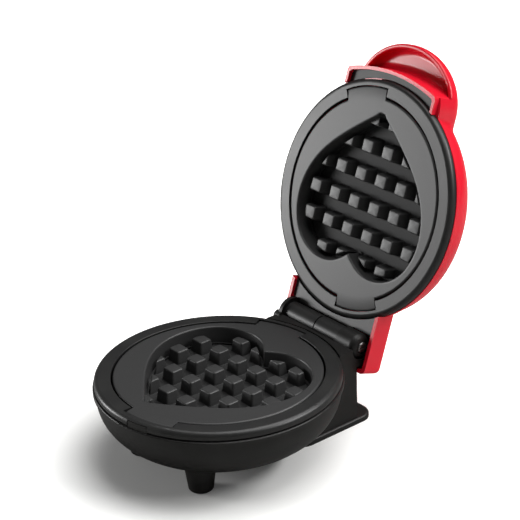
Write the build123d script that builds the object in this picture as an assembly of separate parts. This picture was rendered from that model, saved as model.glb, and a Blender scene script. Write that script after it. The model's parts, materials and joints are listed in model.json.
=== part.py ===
"""Small round waffle maker with a hinged lid, standing open.

Millimetres, +Z up, the front handle side is -Y, the hinge runs along X at the back.
Every piece is drawn around the upright axis through the plates, with the lid closed.
The lid's pieces are then swung open about the hinge, and the whole is moved so that
the origin lies under the middle of the open appliance, on the table.
"""

import os
from math import cos, pi, radians, sin, sqrt

from build123d import *

# Overall sizes
BODY_R = 63.5
RIM_TOP = 45.0
PARTING = 45.3
OPEN_ANGLE = 109.5
HINGE_BEHIND = 9.1
HINGE_Z = 43.2
WALL = 2.2
GAP = 0.3

# Lower bowl
BOWL_INSET = 0.5
BOWL_TOP = 38.2
BOWL_DEPTH = 33.0
BOWL_SQUARENESS = 2.38
LIP_OVERHANG = 0.7
LIP_TOP = 40.4
MIDDLE_FLAT_R = 7.0
WINDOW_X = 8.5
WINDOW_W = 9.0
WINDOW_BOTTOM = 15.0
WINDOW_TOP = 28.0

# Bezel ring and its quarter-turn lugs, angles from the front toward +X
RING_WALL = 2.3
RING_H = 3.7
RING_NECK = 1.0
RING_TOP_T = 1.6
RING_WIDTH = 8.7
RING_ROUND = 2.6
SEAM_GAP = 0.5
SEAM_EDGE = 0.3
LUG_GAP_DEPTH = 4.8
LUG_GAP_START = 0.0
LUG_GAP_ARC = 30.0
KEY_START = 6.8
KEY_ARC = 11.0
KEY_H = 3.4

# Cooking plate with the heart well
PLATE_TOP = 44.9
PLATE_T = 3.5
FLANGE_GAP = 1.2
FLANGE_T = 1.7
WELL_DEPTH = 10.0
PLATE_FLOOR = 2.4
STUD_RECESS = 3.0
STUD_X = 8.0
STUD_Y = 7.0
STUD_TAPER = 6.0
STUD_PITCH = 15.2
STUD_ROW_Y = 3.6
STUD_MARGIN = 2.4
STUD_EDGE = 0.6

# Right half of the heart from its notch to its tip, in half-widths of the heart
HEART_MARGIN = 8.6
HEART_NOTCH = [(0, 0.671), (0.1948, 0.8009), (0.4329, 0.842)]
HEART_SHOULDER = [(0.8333, 0.6645), (1, 0.2597), (0.8983, -0.184)]
HEART_FLANK = [(0.4762, -0.6602), (0.0649, -0.974)]
HEART_TIP = -1.0043

# Heater, reflector and controls under each plate
ELEMENT_R = 31.0
TUBE_R = 2.6
ELEMENT_ARC = 300.0
TERMINAL_L = 14.0
TERMINAL_CAP_R = 2.8
TERMINAL_CAP_L = 5.0
REFLECTOR_R = 42.0
REFLECTOR_T = 0.8
REFLECTOR_DROP = 5.6
POST_R = 3.0
POST_RING_R = 38.0
POST_ANGLES = (150, 270, 30)
SCREW_HEAD_R = 3.2
SCREW_HEAD_H = 1.8
THERMOSTAT_R = 8.0
THERMOSTAT_H = 7.0
FUSE_R = 2.2
FUSE_L = 13.0
FUSE_X = 17.0

# Rear tower, hinge and stand
TOWER_HALF_W = 29.5
TOWER_OVERLAP = 19.5
TOWER_BACK_INSET = 4.2
TOWER_ARC_R = 10.8
TOWER_TOP_FRONT = 44.6
TOWER_WALL = 2.4
TOWER_CEILING = 34.0
BARREL_R = 6.0
BARREL_LEFT = -26.8
BARREL_RIGHT = 14.9
BARREL_SEAM = 0.8
BARREL_SEAM_X = -3.2
KNUCKLE_R = 6.8
KNUCKLE_RIGHT = 28.8
KNUCKLE_ROUND = 3.2
CHEEK_R = 8.0
CHEEK_LEFT = -29.4
SHOULDER_R = 2.8
SHOULDER_LEFT = -31.2
SHOULDER_AHEAD = 7.1
TROUGH_GAP = 0.7
PIN_R = 2.0
PIN_CLEARANCE = 0.05
PIN_HEAD_R = 2.8
PIN_HEAD_H = 1.5
PIN_HEAD_PROUD = 0.8
PIN_SLOT_W = 0.8
PIN_SLOT_DEPTH = 0.6
STAND_HALF_W = 31.0
STAND_AHEAD = 17.0
STAND_BEHIND = 7.4
STAND_T = 3.0
STAND_CORNER = 8.5
STAND_EDGE = 1.2
STAND_SCREW_X = 24.0
STAND_SCREW_AHEAD = 23.2
STAND_BOSS_R = 3.6
STAND_BOSS_H = 11.0
STAND_SCREW_R = 1.3
STAND_SCREW_L = 8.0
STAND_HEAD_R = 3.0
STAND_HEAD_H = 1.4
FOOT_X = 24.4
FOOT_Y = -32.6
FOOT_TOP_R = 9.0
FOOT_BOTTOM_R = 6.3
FOOT_ROUND = 1.5
FOOT_TOP_Z = 20.0
PANEL_HALF_W = 20.0
PANEL_BOTTOM = 5.5
PANEL_TOP = 27.0
PANEL_T = 2.0
GLAND_Z = 13.0
GLAND_R = 4.6
GLAND_COLLAR_R = 6.4
GLAND_COLLAR_T = 1.8
GLAND_NOSE_L = 7.0
GLAND_NOSE_R = 3.8
GLAND_BORE_R = 2.7

# Lid shell with handle and hinge cover
LID_RIM_OVERHANG = 0.4
DOME_INSET = 1.5
DOME_H = 22.4
DOME_SQUARENESS = 3.1
LID_LIP_H = 1.0
HANDLE_REACH = 20.2
HANDLE_HALF_W = 35.4
HANDLE_HALF_L = 29.5
HANDLE_ROOT = 33.5
HANDLE_BOTTOM = 57.5
HANDLE_TOP = 66.0
HANDLE_ROUND = 5.5
HANDLE_EDGE = 0.9
SCOOP_EDGE = 0.8
HANDLE_BLEND = 6.0
BLEND_STEP = 0.5
HANDLE_WALL = 2.5
SCOOP_ROUND = 3.5
APRON_REACH = 5.3
APRON_SAG = 5.2
APRON_HALF_W = 33.0
APRON_BOTTOM = 46.0
APRON_CORNER = 2.5
APRON_WALL = 1.7
LINER_RECESS = 2.4
LINER_T = 2.0
COVER_HALF_W = 34.2
COVER_BEHIND = 13.9
COVER_OVERLAP = 23.5
COVER_BOTTOM = 44.0
COVER_TOP = 57.0
COVER_CORNER = 3.3
COVER_ROUND = 3.2
BRACKET_OVERLAP = 13.5
BRACKET_BEHIND = 2.5
BRACKET_BOTTOM = 45.9
BRACKET_CHEEK_T = 1.5
BRACKET_CHEEK_BEHIND = 11.0
ARM_BOTTOM = 46.4
ARM_TOP = 48.9

# Indicator window
LENS_R = 13.0
LENS_Y = 14.5
LENS_RISE = 0.8
LENS_COLLAR_T = 1.0
LENS_COLLAR_DROP = 0.9
LENS_BEVEL = 0.9
LENS_RING_R = 17.6
LENS_RING_H = 0.6
FLUTE_R = 0.8
FLUTE_PITCH = 2.2
LAMP_R = 1.3
LAMP_L = 8.0
LAMP_X = 4.5
HOLDER_HALF_L = 17.0
HOLDER_HALF_W = 4.5
HOLDER_T = 0.7
CORE_R = 0.8

BOWL_R = BODY_R - BOWL_INSET
LIP_R = BODY_R + LIP_OVERHANG
LIP_INNER_R = BOWL_R - WALL
SEAM_R = BODY_R - RING_WIDTH
LUG_GAP_R = SEAM_R + LUG_GAP_DEPTH
RING_BOTTOM = RIM_TOP - RING_H
NECK_R = BODY_R - RING_NECK
SEAT_R = BODY_R - RING_WALL
FLANGE_R = SEAT_R - FLANGE_GAP
FLANGE_BOTTOM = PLATE_TOP - PLATE_T
HEART_HALF_W = SEAM_R - HEART_MARGIN
WELL_FLOOR = PLATE_TOP - WELL_DEPTH
BOSS_BOTTOM = WELL_FLOOR - PLATE_FLOOR
REFLECTOR_Z = BOSS_BOTTOM - REFLECTOR_DROP
HINGE_Y = BODY_R + HINGE_BEHIND
TOWER_FRONT = BODY_R - TOWER_OVERLAP
TOWER_BACK = HINGE_Y - TOWER_BACK_INSET
STAND_FRONT = TOWER_FRONT - STAND_AHEAD
STAND_BACK = HINGE_Y + STAND_BEHIND
LID_SEAT = 2 * PARTING - LIP_TOP
LID_RIM = 2 * PARTING - RING_BOTTOM
LID_RIM_R = BODY_R + LID_RIM_OVERHANG
DOME_R = BODY_R - DOME_INSET
DOME_BASE = LID_SEAT + LID_LIP_H
DOME_TOP = DOME_BASE + DOME_H
HANDLE_TIP = -(BODY_R + HANDLE_REACH)
APRON_FRONT = -(BODY_R + APRON_REACH)
COVER_FRONT = BODY_R - COVER_OVERLAP
COVER_BACK = HINGE_Y + COVER_BEHIND
COVER_CEILING = COVER_TOP - WALL


def flipped(piece):
    """The same piece turned over for the lid, half a turn about the front-to-back line."""
    return piece.rotate(Axis((0, 0, PARTING), (0, 1, 0)), 180)


def opened(piece):
    """A lid piece swung from closed to fully open about the hinge."""
    return piece.rotate(Axis((0, HINGE_Y, HINGE_Z), (1, 0, 0)), -OPEN_ANGLE)


def disc(radius, bottom, top, x=0.0, y=0.0):
    return Pos(x, y, (bottom + top) / 2) * Cylinder(radius, top - bottom)


def block(left, right, front, back, bottom, top):
    middle = ((left + right) / 2, (front + back) / 2, (bottom + top) / 2)
    return Pos(*middle) * Box(right - left, back - front, top - bottom)


def cross_rod(radius, left, right, y=HINGE_Y, z=HINGE_Z):
    return Pos((left + right) / 2, y, z) * Rot(0, 90, 0) * Cylinder(radius, right - left)


def tube(inner, outer, bottom, top):
    return disc(outer, bottom, top) - disc(inner, bottom - 1, top + 1)


def sector(inner, outer, start, arc, bottom, top):
    """Part of a tube, from an angle measured at the front toward +X."""
    middle = ((inner + outer) / 2, (bottom + top) / 2)
    face = Plane.XZ * Pos(*middle) * Rectangle(outer - inner, top - bottom)
    return revolve(face, Axis.Z, arc).rotate(Axis.Z, start - 90)


def dish_points(radius, base, height, squareness, steps=10):
    """Points of a rounded, slightly square dish profile from its rim to its middle."""
    points = []
    for step in range(steps + 1):
        angle = step / steps * pi / 2
        across = max(cos(angle), 0) ** (2 / squareness)
        up = sin(angle) ** (2 / squareness)
        points.append((radius * across, base + height * up))
    return points


def dish(radius, base, height, squareness, skirt_to):
    """Solid dish turned about the upright axis, with a straight skirt to a level."""
    points = dish_points(radius, base, height, squareness)
    points[-1] = (MIDDLE_FLAT_R, base + height)
    curve = Spline(points, tangents=[(0, height), (-1, 0)])
    rest = Polyline(points[-1], (0, base + height), (0, skirt_to), (radius, skirt_to), (radius, base))
    return revolve(Plane.XZ * make_face(curve + rest), Axis.Z)


def heart_face(grow):
    """The heart outline, pushed outward from its middle by about this many millimetres."""
    half_width = HEART_HALF_W + grow
    right = [(x * half_width, y * half_width) for x, y in HEART_NOTCH + HEART_SHOULDER + HEART_FLANK]
    left = [(-x, y) for x, y in right]
    tip = ThreePointArc(right[-1], (0, HEART_TIP * half_width), left[-1])
    return make_face(Spline(right) + tip + Spline(left))


def heart_prism(grow, bottom, top):
    return Pos(0, 0, bottom) * extrude(heart_face(grow), top - bottom)


def studs():
    """Tapered studs on a square grid, trimmed to stay clear of the well's wall."""
    height = WELL_DEPTH - STUD_RECESS
    spread = 2 * height * sin(radians(STUD_TAPER)) / cos(radians(STUD_TAPER))
    one = extrude(Rectangle(STUD_X + spread, STUD_Y + spread), height, taper=STUD_TAPER)
    one = chamfer(one.faces().sort_by(Axis.Z)[-1].edges(), STUD_EDGE)
    inside = heart_prism(-STUD_MARGIN, WELL_FLOOR - 1, PLATE_TOP)
    whole = STUD_X * STUD_Y * height
    kept = []
    for column in range(-3, 3):
        for row in range(-3, 3):
            x = (column + 0.5) * STUD_PITCH
            y = STUD_ROW_Y + row * STUD_PITCH
            trimmed = (Pos(x, y, WELL_FLOOR) * one) & inside
            if trimmed and trimmed.volume > 0.12 * whole:
                kept.append(trimmed)
    return kept


def cooking_plate():
    land = disc(SEAM_R - SEAM_GAP, FLANGE_BOTTOM, PLATE_TOP)
    plate = fillet(land.edges().group_by(Axis.Z)[-1], SEAM_EDGE)
    plate += disc(FLANGE_R, FLANGE_BOTTOM, FLANGE_BOTTOM + FLANGE_T)
    for turn in (0, 180):
        start = LUG_GAP_START + turn + 0.5
        plate += sector(SEAM_R - 2, LUG_GAP_R - GAP, start, LUG_GAP_ARC - 1, FLANGE_BOTTOM, PLATE_TOP - GAP)
    plate += heart_prism(PLATE_FLOOR, BOSS_BOTTOM, FLANGE_BOTTOM)
    plate -= heart_prism(0, WELL_FLOOR, PLATE_TOP + 1)
    for stud in studs():
        plate += stud
    for angle in POST_ANGLES:
        x = POST_RING_R * cos(radians(angle))
        y = POST_RING_R * sin(radians(angle))
        plate += disc(POST_R, REFLECTOR_Z, BOSS_BOTTOM + 1, x, y)
    return plate


def bezel_ring():
    ring = tube(SEAT_R, BODY_R, RING_BOTTOM, RIM_TOP)
    ring += tube(SEAT_R, NECK_R, LIP_TOP, RING_BOTTOM)
    ring += tube(SEAM_R, SEAT_R + 0.5, RIM_TOP - RING_TOP_T, RIM_TOP)
    top_edges = ring.edges().filter_by(GeomType.CIRCLE).group_by(Axis.Z)[-1].sort_by(SortBy.RADIUS)
    ring = fillet(top_edges[-1], RING_ROUND)
    top_edges = ring.edges().filter_by(GeomType.CIRCLE).group_by(Axis.Z)[-1].sort_by(SortBy.RADIUS)
    ring = fillet(top_edges[0], SEAM_EDGE)
    for turn in (0, 180):
        ring -= sector(SEAM_R - 1, LUG_GAP_R, LUG_GAP_START + turn, LUG_GAP_ARC, LIP_TOP, RIM_TOP + 1)
    notch_top = LIP_TOP + KEY_H + GAP
    ring -= sector(SEAT_R - 1, BODY_R + 1, KEY_START - 0.3, KEY_ARC + 0.6, LIP_TOP - 1, notch_top)
    return ring


def rim_seat():
    """The ledge that carries the plate's flange, and the key that locates the ring."""
    ledge = tube(FLANGE_R - 4, LIP_INNER_R + 0.1, LIP_TOP - 2, FLANGE_BOTTOM)
    key = sector(SEAT_R + GAP, BODY_R - GAP, KEY_START, KEY_ARC, LIP_TOP - 1, LIP_TOP + KEY_H)
    return ledge + key


def element():
    """Tubular heater bent to an open ring, its two ends turned to the back."""
    level = BOSS_BOTTOM - TUBE_R
    circle = Plane.XZ * Pos(ELEMENT_R, level) * Circle(TUBE_R)
    start = 90 + (360 - ELEMENT_ARC) / 2
    ring = revolve(circle, Axis.Z, ELEMENT_ARC).rotate(Axis.Z, start)
    for angle in (start, start + ELEMENT_ARC):
        x = ELEMENT_R * cos(radians(angle))
        y = ELEMENT_R * sin(radians(angle))
        ring += Pos(x, y, level) * Sphere(TUBE_R)
        ring += back_rod(TUBE_R, y, y + TERMINAL_L, x, level)
    return ring


def terminal_places():
    start = 90 + (360 - ELEMENT_ARC) / 2
    places = []
    for angle in (start, start + ELEMENT_ARC):
        places.append((ELEMENT_R * cos(radians(angle)), ELEMENT_R * sin(radians(angle))))
    return places


def terminals():
    """Ceramic caps on the heater's two ends."""
    caps = []
    for x, y in terminal_places():
        start = y + TERMINAL_L
        caps.append(back_rod(TERMINAL_CAP_R, start, start + TERMINAL_CAP_L, x, BOSS_BOTTOM - TUBE_R))
    return caps[0] + caps[1]


def reflector():
    """Steel disc that throws the heat back at the plate, open in the middle for the controls."""
    plate = disc(REFLECTOR_R, REFLECTOR_Z - REFLECTOR_T, REFLECTOR_Z)
    plate -= disc(THERMOSTAT_R + 2, REFLECTOR_Z - REFLECTOR_T - 1, REFLECTOR_Z + 1)
    return plate


def post_screws():
    bottom = REFLECTOR_Z - REFLECTOR_T
    heads = []
    for angle in POST_ANGLES:
        x = POST_RING_R * cos(radians(angle))
        y = POST_RING_R * sin(radians(angle))
        head = disc(SCREW_HEAD_R, bottom - SCREW_HEAD_H, bottom, x, y)
        heads.append(fillet(head.edges().group_by(Axis.Z)[0], 0.6))
    return heads[0] + heads[1] + heads[2]


def thermostat():
    body = disc(THERMOSTAT_R, BOSS_BOTTOM - THERMOSTAT_H, BOSS_BOTTOM)
    for side in (-1, 1):
        low = BOSS_BOTTOM - THERMOSTAT_H - 3
        body += block(side * 4 - 2, side * 4 + 2, -0.5, 0.5, low, BOSS_BOTTOM - THERMOSTAT_H)
    return body


def thermal_fuse():
    fuse = Pos(FUSE_X, 0, BOSS_BOTTOM - FUSE_R) * Rot(90, 0, 0) * Cylinder(FUSE_R, FUSE_L)
    clip_bottom = BOSS_BOTTOM - 2 * FUSE_R - 0.4
    clip = block(FUSE_X - FUSE_R, FUSE_X + FUSE_R, -1.5, 1.5, clip_bottom, BOSS_BOTTOM)
    return fuse + clip


def tower_profile():
    """Side outline of the rear tower, with a round back that the lid's cover swings past."""
    drop = sqrt(TOWER_ARC_R**2 - (HINGE_Y - TOWER_BACK) ** 2)
    low = (TOWER_BACK, HINGE_Z - drop)
    side = (HINGE_Y + TOWER_ARC_R * cos(radians(-45)), HINGE_Z + TOWER_ARC_R * sin(radians(-45)))
    high = (HINGE_Y + TOWER_ARC_R, HINGE_Z)
    arc = ThreePointArc(low, side, high)
    rest = Polyline(
        high,
        (HINGE_Y + TOWER_ARC_R - 0.4, HINGE_Z + 0.2),
        (HINGE_Y, TOWER_TOP_FRONT - 0.8),
        (TOWER_FRONT, TOWER_TOP_FRONT),
        (TOWER_FRONT, STAND_T),
        (TOWER_BACK, STAND_T),
        low,
    )
    return make_face(arc + rest)


def tower_block():
    """The tower with its hollow, the barrels' trough, and the two knuckles that hold the pin."""
    face = Plane.YZ * tower_profile()
    body = Pos(-TOWER_HALF_W, 0, 0) * extrude(face, 2 * TOWER_HALF_W)
    inside = TOWER_HALF_W - TOWER_WALL
    inner_back = TOWER_BACK - TOWER_WALL
    body -= block(-inside, inside, TOWER_FRONT + TOWER_WALL, inner_back, STAND_T - 1, TOWER_CEILING)
    body -= block(-PANEL_HALF_W, PANEL_HALF_W, inner_back - 1, TOWER_BACK + 1, PANEL_BOTTOM, PANEL_TOP)
    left = BARREL_LEFT - GAP
    right = BARREL_RIGHT + GAP
    body -= cross_rod(BARREL_R + TROUGH_GAP, left, right)
    body -= block(left, right, HINGE_Y - 1, HINGE_Y + TOWER_ARC_R + 1, HINGE_Z, HINGE_Z + TOWER_ARC_R)
    knuckle = cross_rod(KNUCKLE_R, right, KNUCKLE_RIGHT)
    body -= cross_rod(KNUCKLE_R, KNUCKLE_RIGHT - KNUCKLE_ROUND, TOWER_HALF_W + 1)
    body += fillet(knuckle.edges().group_by(Axis.X)[-1], KNUCKLE_ROUND)
    body += cross_rod(CHEEK_R, CHEEK_LEFT, left)
    body += cross_rod(SHOULDER_R, SHOULDER_LEFT, left, HINGE_Y - SHOULDER_AHEAD, HINGE_Z - 0.4)
    body -= cross_rod(PIN_R, CHEEK_LEFT + 0.8, KNUCKLE_RIGHT + 1)
    body -= cross_rod(PIN_HEAD_R + 0.1, KNUCKLE_RIGHT + PIN_HEAD_PROUD - PIN_HEAD_H, KNUCKLE_RIGHT + 1)
    for x, y in stand_screw_places():
        body += disc(STAND_BOSS_R, STAND_T, STAND_T + STAND_BOSS_H, x, y)
        body -= disc(STAND_SCREW_R, STAND_T - 1, STAND_T + STAND_SCREW_L + 1, x, y)
    return body


def bowl_outside():
    """The bowl and its lip as one solid lump, as the tower and the feet meet it."""
    bowl = dish(BOWL_R, BOWL_TOP, -BOWL_DEPTH, BOWL_SQUARENESS, LIP_TOP)
    lip = disc(LIP_R, BOWL_TOP, LIP_TOP)
    return bowl + fillet(lip.edges().group_by(Axis.Z)[-1], 0.8)


def base_housing():
    """Bowl and lip, with the ledge for the plate and two windows for the leads."""
    body = bowl_outside()
    body -= dish(LIP_INNER_R, BOWL_TOP, WALL - BOWL_DEPTH, BOWL_SQUARENESS, LIP_TOP + 1)
    for side in (-1, 1):
        left = side * WINDOW_X - WINDOW_W / 2
        body -= block(left, left + WINDOW_W, TOWER_FRONT, TOWER_BACK, WINDOW_BOTTOM, WINDOW_TOP)
    return body + rim_seat()


def rear_tower():
    """Hinge tower behind the bowl, open below where the stand closes it."""
    above_lip = disc(BODY_R + GAP, LIP_TOP, LIP_TOP + TOWER_ARC_R)
    return tower_block() - above_lip - bowl_outside()


def front_foot(side):
    """Tapered foot, cut to the bowl's underside."""
    cone = Pos(0, 0, FOOT_TOP_Z / 2) * Cone(FOOT_BOTTOM_R, FOOT_TOP_R, FOOT_TOP_Z)
    cone = fillet(cone.edges().group_by(Axis.Z)[0], FOOT_ROUND)
    return Pos(side * FOOT_X, FOOT_Y, 0) * cone - bowl_outside()


def stand_screw_places():
    return [(side * STAND_SCREW_X, HINGE_Y - STAND_SCREW_AHEAD) for side in (-1, 1)]


def stand_plate():
    middle = (STAND_FRONT + STAND_BACK) / 2
    outline = RectangleRounded(2 * STAND_HALF_W, STAND_BACK - STAND_FRONT, STAND_CORNER)
    plate = Pos(0, middle, 0) * extrude(outline, STAND_T)
    plate = fillet(plate.edges().group_by(Axis.Z)[-1], STAND_EDGE)
    for x, y in stand_screw_places():
        plate -= disc(STAND_SCREW_R + GAP, -1, STAND_T + 1, x, y)
        plate -= disc(STAND_HEAD_R + GAP, -1, STAND_HEAD_H + 0.1, x, y)
    return plate


def stand_screws():
    """Two screws that hold the stand plate under the tower, heads sunk in the plate."""
    screws = []
    for x, y in stand_screw_places():
        head = disc(STAND_HEAD_R, 0.1, STAND_HEAD_H + 0.1, x, y)
        screws.append(head + disc(STAND_SCREW_R - 0.02, STAND_HEAD_H, STAND_T + STAND_SCREW_L, x, y))
    return screws[0] + screws[1]


def tower_back():
    front = TOWER_BACK - PANEL_T
    side = PANEL_HALF_W - 0.2
    panel = block(-side, side, front, TOWER_BACK, PANEL_BOTTOM + 0.2, PANEL_TOP - 0.2)
    seat = TOWER_BACK - TOWER_WALL
    flange = block(-side - 2, side + 2, seat - 2, seat, PANEL_BOTTOM - 1, PANEL_TOP + 2)
    panel += block(-side, side, seat, front, PANEL_BOTTOM + 0.2, PANEL_TOP - 0.2)
    hole = Pos(0, front, GLAND_Z) * Rot(90, 0, 0) * Cylinder(GLAND_R, 12)
    return panel + flange - hole


def back_rod(radius, front, back, x=0.0, z=GLAND_Z):
    return Pos(x, (front + back) / 2, z) * Rot(90, 0, 0) * Cylinder(radius, back - front)


def cord_gland():
    """Strain bush that the supply lead comes out of, with rings along its nose."""
    inner = TOWER_BACK - PANEL_T - 4
    gland = back_rod(GLAND_R - 0.05, inner, TOWER_BACK)
    gland += back_rod(GLAND_COLLAR_R, TOWER_BACK, TOWER_BACK + GLAND_COLLAR_T)
    nose_end = TOWER_BACK + GLAND_COLLAR_T + GLAND_NOSE_L
    gland += back_rod(GLAND_NOSE_R, TOWER_BACK + GLAND_COLLAR_T, nose_end)
    for ring in range(3):
        start = TOWER_BACK + GLAND_COLLAR_T + 1.4 + 2.0 * ring
        gland += back_rod(GLAND_NOSE_R + 0.6, start, start + 1)
    return gland - back_rod(GLAND_BORE_R, inner - 1, nose_end + 1)


def core(points, start_way, end_way):
    """Round insulated core along a smooth path."""
    path = Spline(points, tangents=[start_way, end_way])
    return sweep(Plane(origin=path @ 0, z_dir=path % 0) * Circle(CORE_R), path)


def supply_lead(side):
    """Insulated core from the gland up to one of the heater's terminals."""
    x, y = terminal_places()[1 if side > 0 else 0]
    level = BOSS_BOTTOM - TUBE_R
    start = (side * 1.25, TOWER_BACK - PANEL_T - 4.1, GLAND_Z)
    end = (x, y + TERMINAL_L + TERMINAL_CAP_L + 0.1, level)
    middle = (side * 8.0, 55.5, (GLAND_Z + level) / 2)
    return core((start, middle, end), (0, -1, 0.2), (0, -1, 0))


def hinge_pin():
    """Steel pin with a low domed head that has a slot across it."""
    outer = KNUCKLE_RIGHT + PIN_HEAD_PROUD
    head = cross_rod(PIN_HEAD_R, outer - PIN_HEAD_H, outer)
    head = fillet(head.edges().group_by(Axis.X)[-1], PIN_HEAD_PROUD)
    low = HINGE_Z - PIN_SLOT_W / 2
    front = HINGE_Y - PIN_HEAD_R
    slot = block(outer - PIN_SLOT_DEPTH, outer + 1, front, front + 2 * PIN_HEAD_R, low, low + PIN_SLOT_W)
    return cross_rod(PIN_R, CHEEK_LEFT + 0.9, outer - 1) + head - slot


def hinge_bracket():
    """Black inner frame behind the lid's ring: it carries the barrels and lines the cover."""
    inside = COVER_HALF_W - WALL - 0.1
    front = BODY_R - BRACKET_OVERLAP
    body = block(-inside, inside, front, BODY_R + BRACKET_BEHIND, BRACKET_BOTTOM, COVER_CEILING)
    cheek_back = HINGE_Y + BRACKET_CHEEK_BEHIND
    body += block(-inside, BRACKET_CHEEK_T - inside, front, cheek_back, BRACKET_BOTTOM, COVER_CEILING)
    body += block(inside - BRACKET_CHEEK_T, inside, front, cheek_back, BRACKET_BOTTOM, COVER_CEILING)
    body -= disc(BODY_R + 0.15, 0, DOME_TOP)
    body -= disc(LID_RIM_R + 0.1, LID_RIM - 0.1, DOME_TOP)
    body -= cross_rod(CHEEK_R + GAP, -COVER_HALF_W, BARREL_LEFT)
    body -= cross_rod(KNUCKLE_R + GAP, BARREL_RIGHT, inside - BRACKET_CHEEK_T)
    seam = BARREL_SEAM / 2
    for left, right in ((BARREL_LEFT, BARREL_SEAM_X - seam), (BARREL_SEAM_X + seam, BARREL_RIGHT)):
        arm = block(left, right, BODY_R + BRACKET_BEHIND - 1, HINGE_Y, ARM_BOTTOM, ARM_TOP)
        body += arm + cross_rod(BARREL_R, left, right)
    return body - cross_rod(PIN_R + PIN_CLEARANCE, BARREL_LEFT - 1, BARREL_RIGHT + 1)


def handle_outline(inset):
    """The handle in plan: half an ellipse in front, straight sides that run into the dome."""
    middle = HANDLE_TIP + HANDLE_HALF_L
    root = HANDLE_ROOT - BODY_R
    front = Pos(0, middle) * Ellipse(HANDLE_HALF_W - inset, HANDLE_HALF_L - inset)
    sides = Pos(0, (middle + root) / 2) * Rectangle(2 * (HANDLE_HALF_W - inset), root - middle)
    return front + sides


def apron_outline(inset):
    """The apron in plan: a wide shallow arc in front of the ring, with small round corners."""
    half = APRON_HALF_W - inset
    front = APRON_FRONT + inset
    root = HANDLE_ROOT - BODY_R
    arc = ThreePointArc((-half, front + APRON_SAG), (0, front), (half, front + APRON_SAG))
    rest = Polyline((half, front + APRON_SAG), (half, root), (-half, root), (-half, front + APRON_SAG))
    face = make_face(arc + rest)
    return fillet(face.vertices().group_by(Axis.Y)[0], APRON_CORNER)


def apron_prism(inset, bottom, top):
    return Pos(0, 0, bottom) * extrude(apron_outline(inset), top - bottom)


def rounded_if_possible(body, edges, radius):
    """The body with its edges rounded at this radius, or at the next smaller one that works."""
    while radius > 0:
        try:
            return fillet(edges, radius)
        except ValueError:
            radius -= BLEND_STEP
    return body


def dome_with_handle():
    """Dome and handle, flowing into each other, with the handle's front half hanging free."""
    handle = Pos(0, 0, DOME_BASE) * extrude(handle_outline(0), HANDLE_TOP - DOME_BASE)
    top_edges = handle.faces().sort_by(Axis.Z)[-1].edges()
    handle = fillet(top_edges.sort_by(SortBy.LENGTH)[-1], HANDLE_ROUND)
    body = dish(DOME_R, DOME_BASE, DOME_H, DOME_SQUARENESS, LID_SEAT) + handle
    joints = []
    for edge in body.edges().filter_by(GeomType.BSPLINE):
        middle = edge @ 0.5
        if middle.Z > DOME_BASE + 0.01 and middle.X**2 + middle.Y**2 < DOME_R**2:
            joints.append(edge)
    body = rounded_if_possible(body, joints, HANDLE_BLEND)
    body += Pos(0, 0, LID_RIM) * extrude(handle_outline(0), DOME_BASE - LID_RIM)
    corner = APRON_FRONT + APRON_SAG
    body -= block(-HANDLE_HALF_W, HANDLE_HALF_W, HANDLE_TIP - 1, corner, 0, HANDLE_BOTTOM)
    under_edges = body.edges().filter_by(lambda edge: abs((edge @ 0.5).Z - HANDLE_BOTTOM) < 0.01)
    return fillet(under_edges.sort_by(SortBy.LENGTH)[-1], HANDLE_EDGE)


def scoop():
    """The finger hollow under the handle, in front of the apron."""
    ceiling = HANDLE_TOP - HANDLE_WALL
    bottom = HANDLE_BOTTOM - 2
    hollow = Pos(0, 0, bottom) * extrude(handle_outline(HANDLE_WALL), ceiling - bottom)
    hollow -= apron_prism(0, bottom - 1, ceiling + 1)
    hollow -= block(-HANDLE_HALF_W, HANDLE_HALF_W, APRON_FRONT + APRON_SAG, 0, 0, DOME_TOP)
    return fillet(hollow.edges().group_by(Axis.Z)[-1], SCOOP_ROUND)


def apron_hollow():
    hollow = apron_prism(APRON_WALL, APRON_BOTTOM - 1, HANDLE_TOP - HANDLE_WALL - WALL)
    return hollow - disc(LID_RIM_R, LID_RIM, HANDLE_TOP) - disc(LIP_INNER_R, 0, HANDLE_TOP)


def apron_liner():
    """Black inner frame in front of the lid's ring, sunk behind the apron's edge."""
    bottom = APRON_BOTTOM + LINER_RECESS
    liner = apron_prism(APRON_WALL + 0.1, bottom, bottom + LINER_T)
    return liner - disc(BODY_R + 0.15, 0, LID_RIM) - disc(LID_RIM_R + 0.1, LID_RIM - 0.1, DOME_TOP)


def hinge_cover():
    box = block(-COVER_HALF_W, COVER_HALF_W, COVER_FRONT, COVER_BACK, COVER_BOTTOM, COVER_TOP)
    corners = box.edges().filter_by(Axis.Z).group_by(Axis.Y)[-1]
    box = fillet(corners, COVER_CORNER)
    return fillet(box.edges().group_by(Axis.Z)[-1], COVER_ROUND)


def cover_hollow():
    inner = COVER_HALF_W - WALL
    box = block(-inner, inner, COVER_FRONT, COVER_BACK - WALL, COVER_BOTTOM - 1, COVER_CEILING)
    return box - disc(LID_RIM_R, LID_RIM, DOME_TOP)


def lens_ring():
    """Soft raised ring on the dome round the window."""
    ring = disc(LENS_RING_R, DOME_TOP - 1, DOME_TOP + LENS_RING_H, 0, LENS_Y)
    return fillet(ring.edges().group_by(Axis.Z)[-1], LENS_RING_H - 0.05)


def is_scoop_mouth(place):
    """True for a place on the scoop's edge: under the handle, on its inner outline."""
    middle = HANDLE_TIP + HANDLE_HALF_L
    across = place.X / (HANDLE_HALF_W - HANDLE_WALL)
    along = (place.Y - middle) / (HANDLE_HALF_L - HANDLE_WALL)
    on_outline = abs(across**2 + along**2 - 1) < 0.01
    return on_outline and abs(place.Z - HANDLE_BOTTOM) < 0.01 and place.Y < middle


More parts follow.
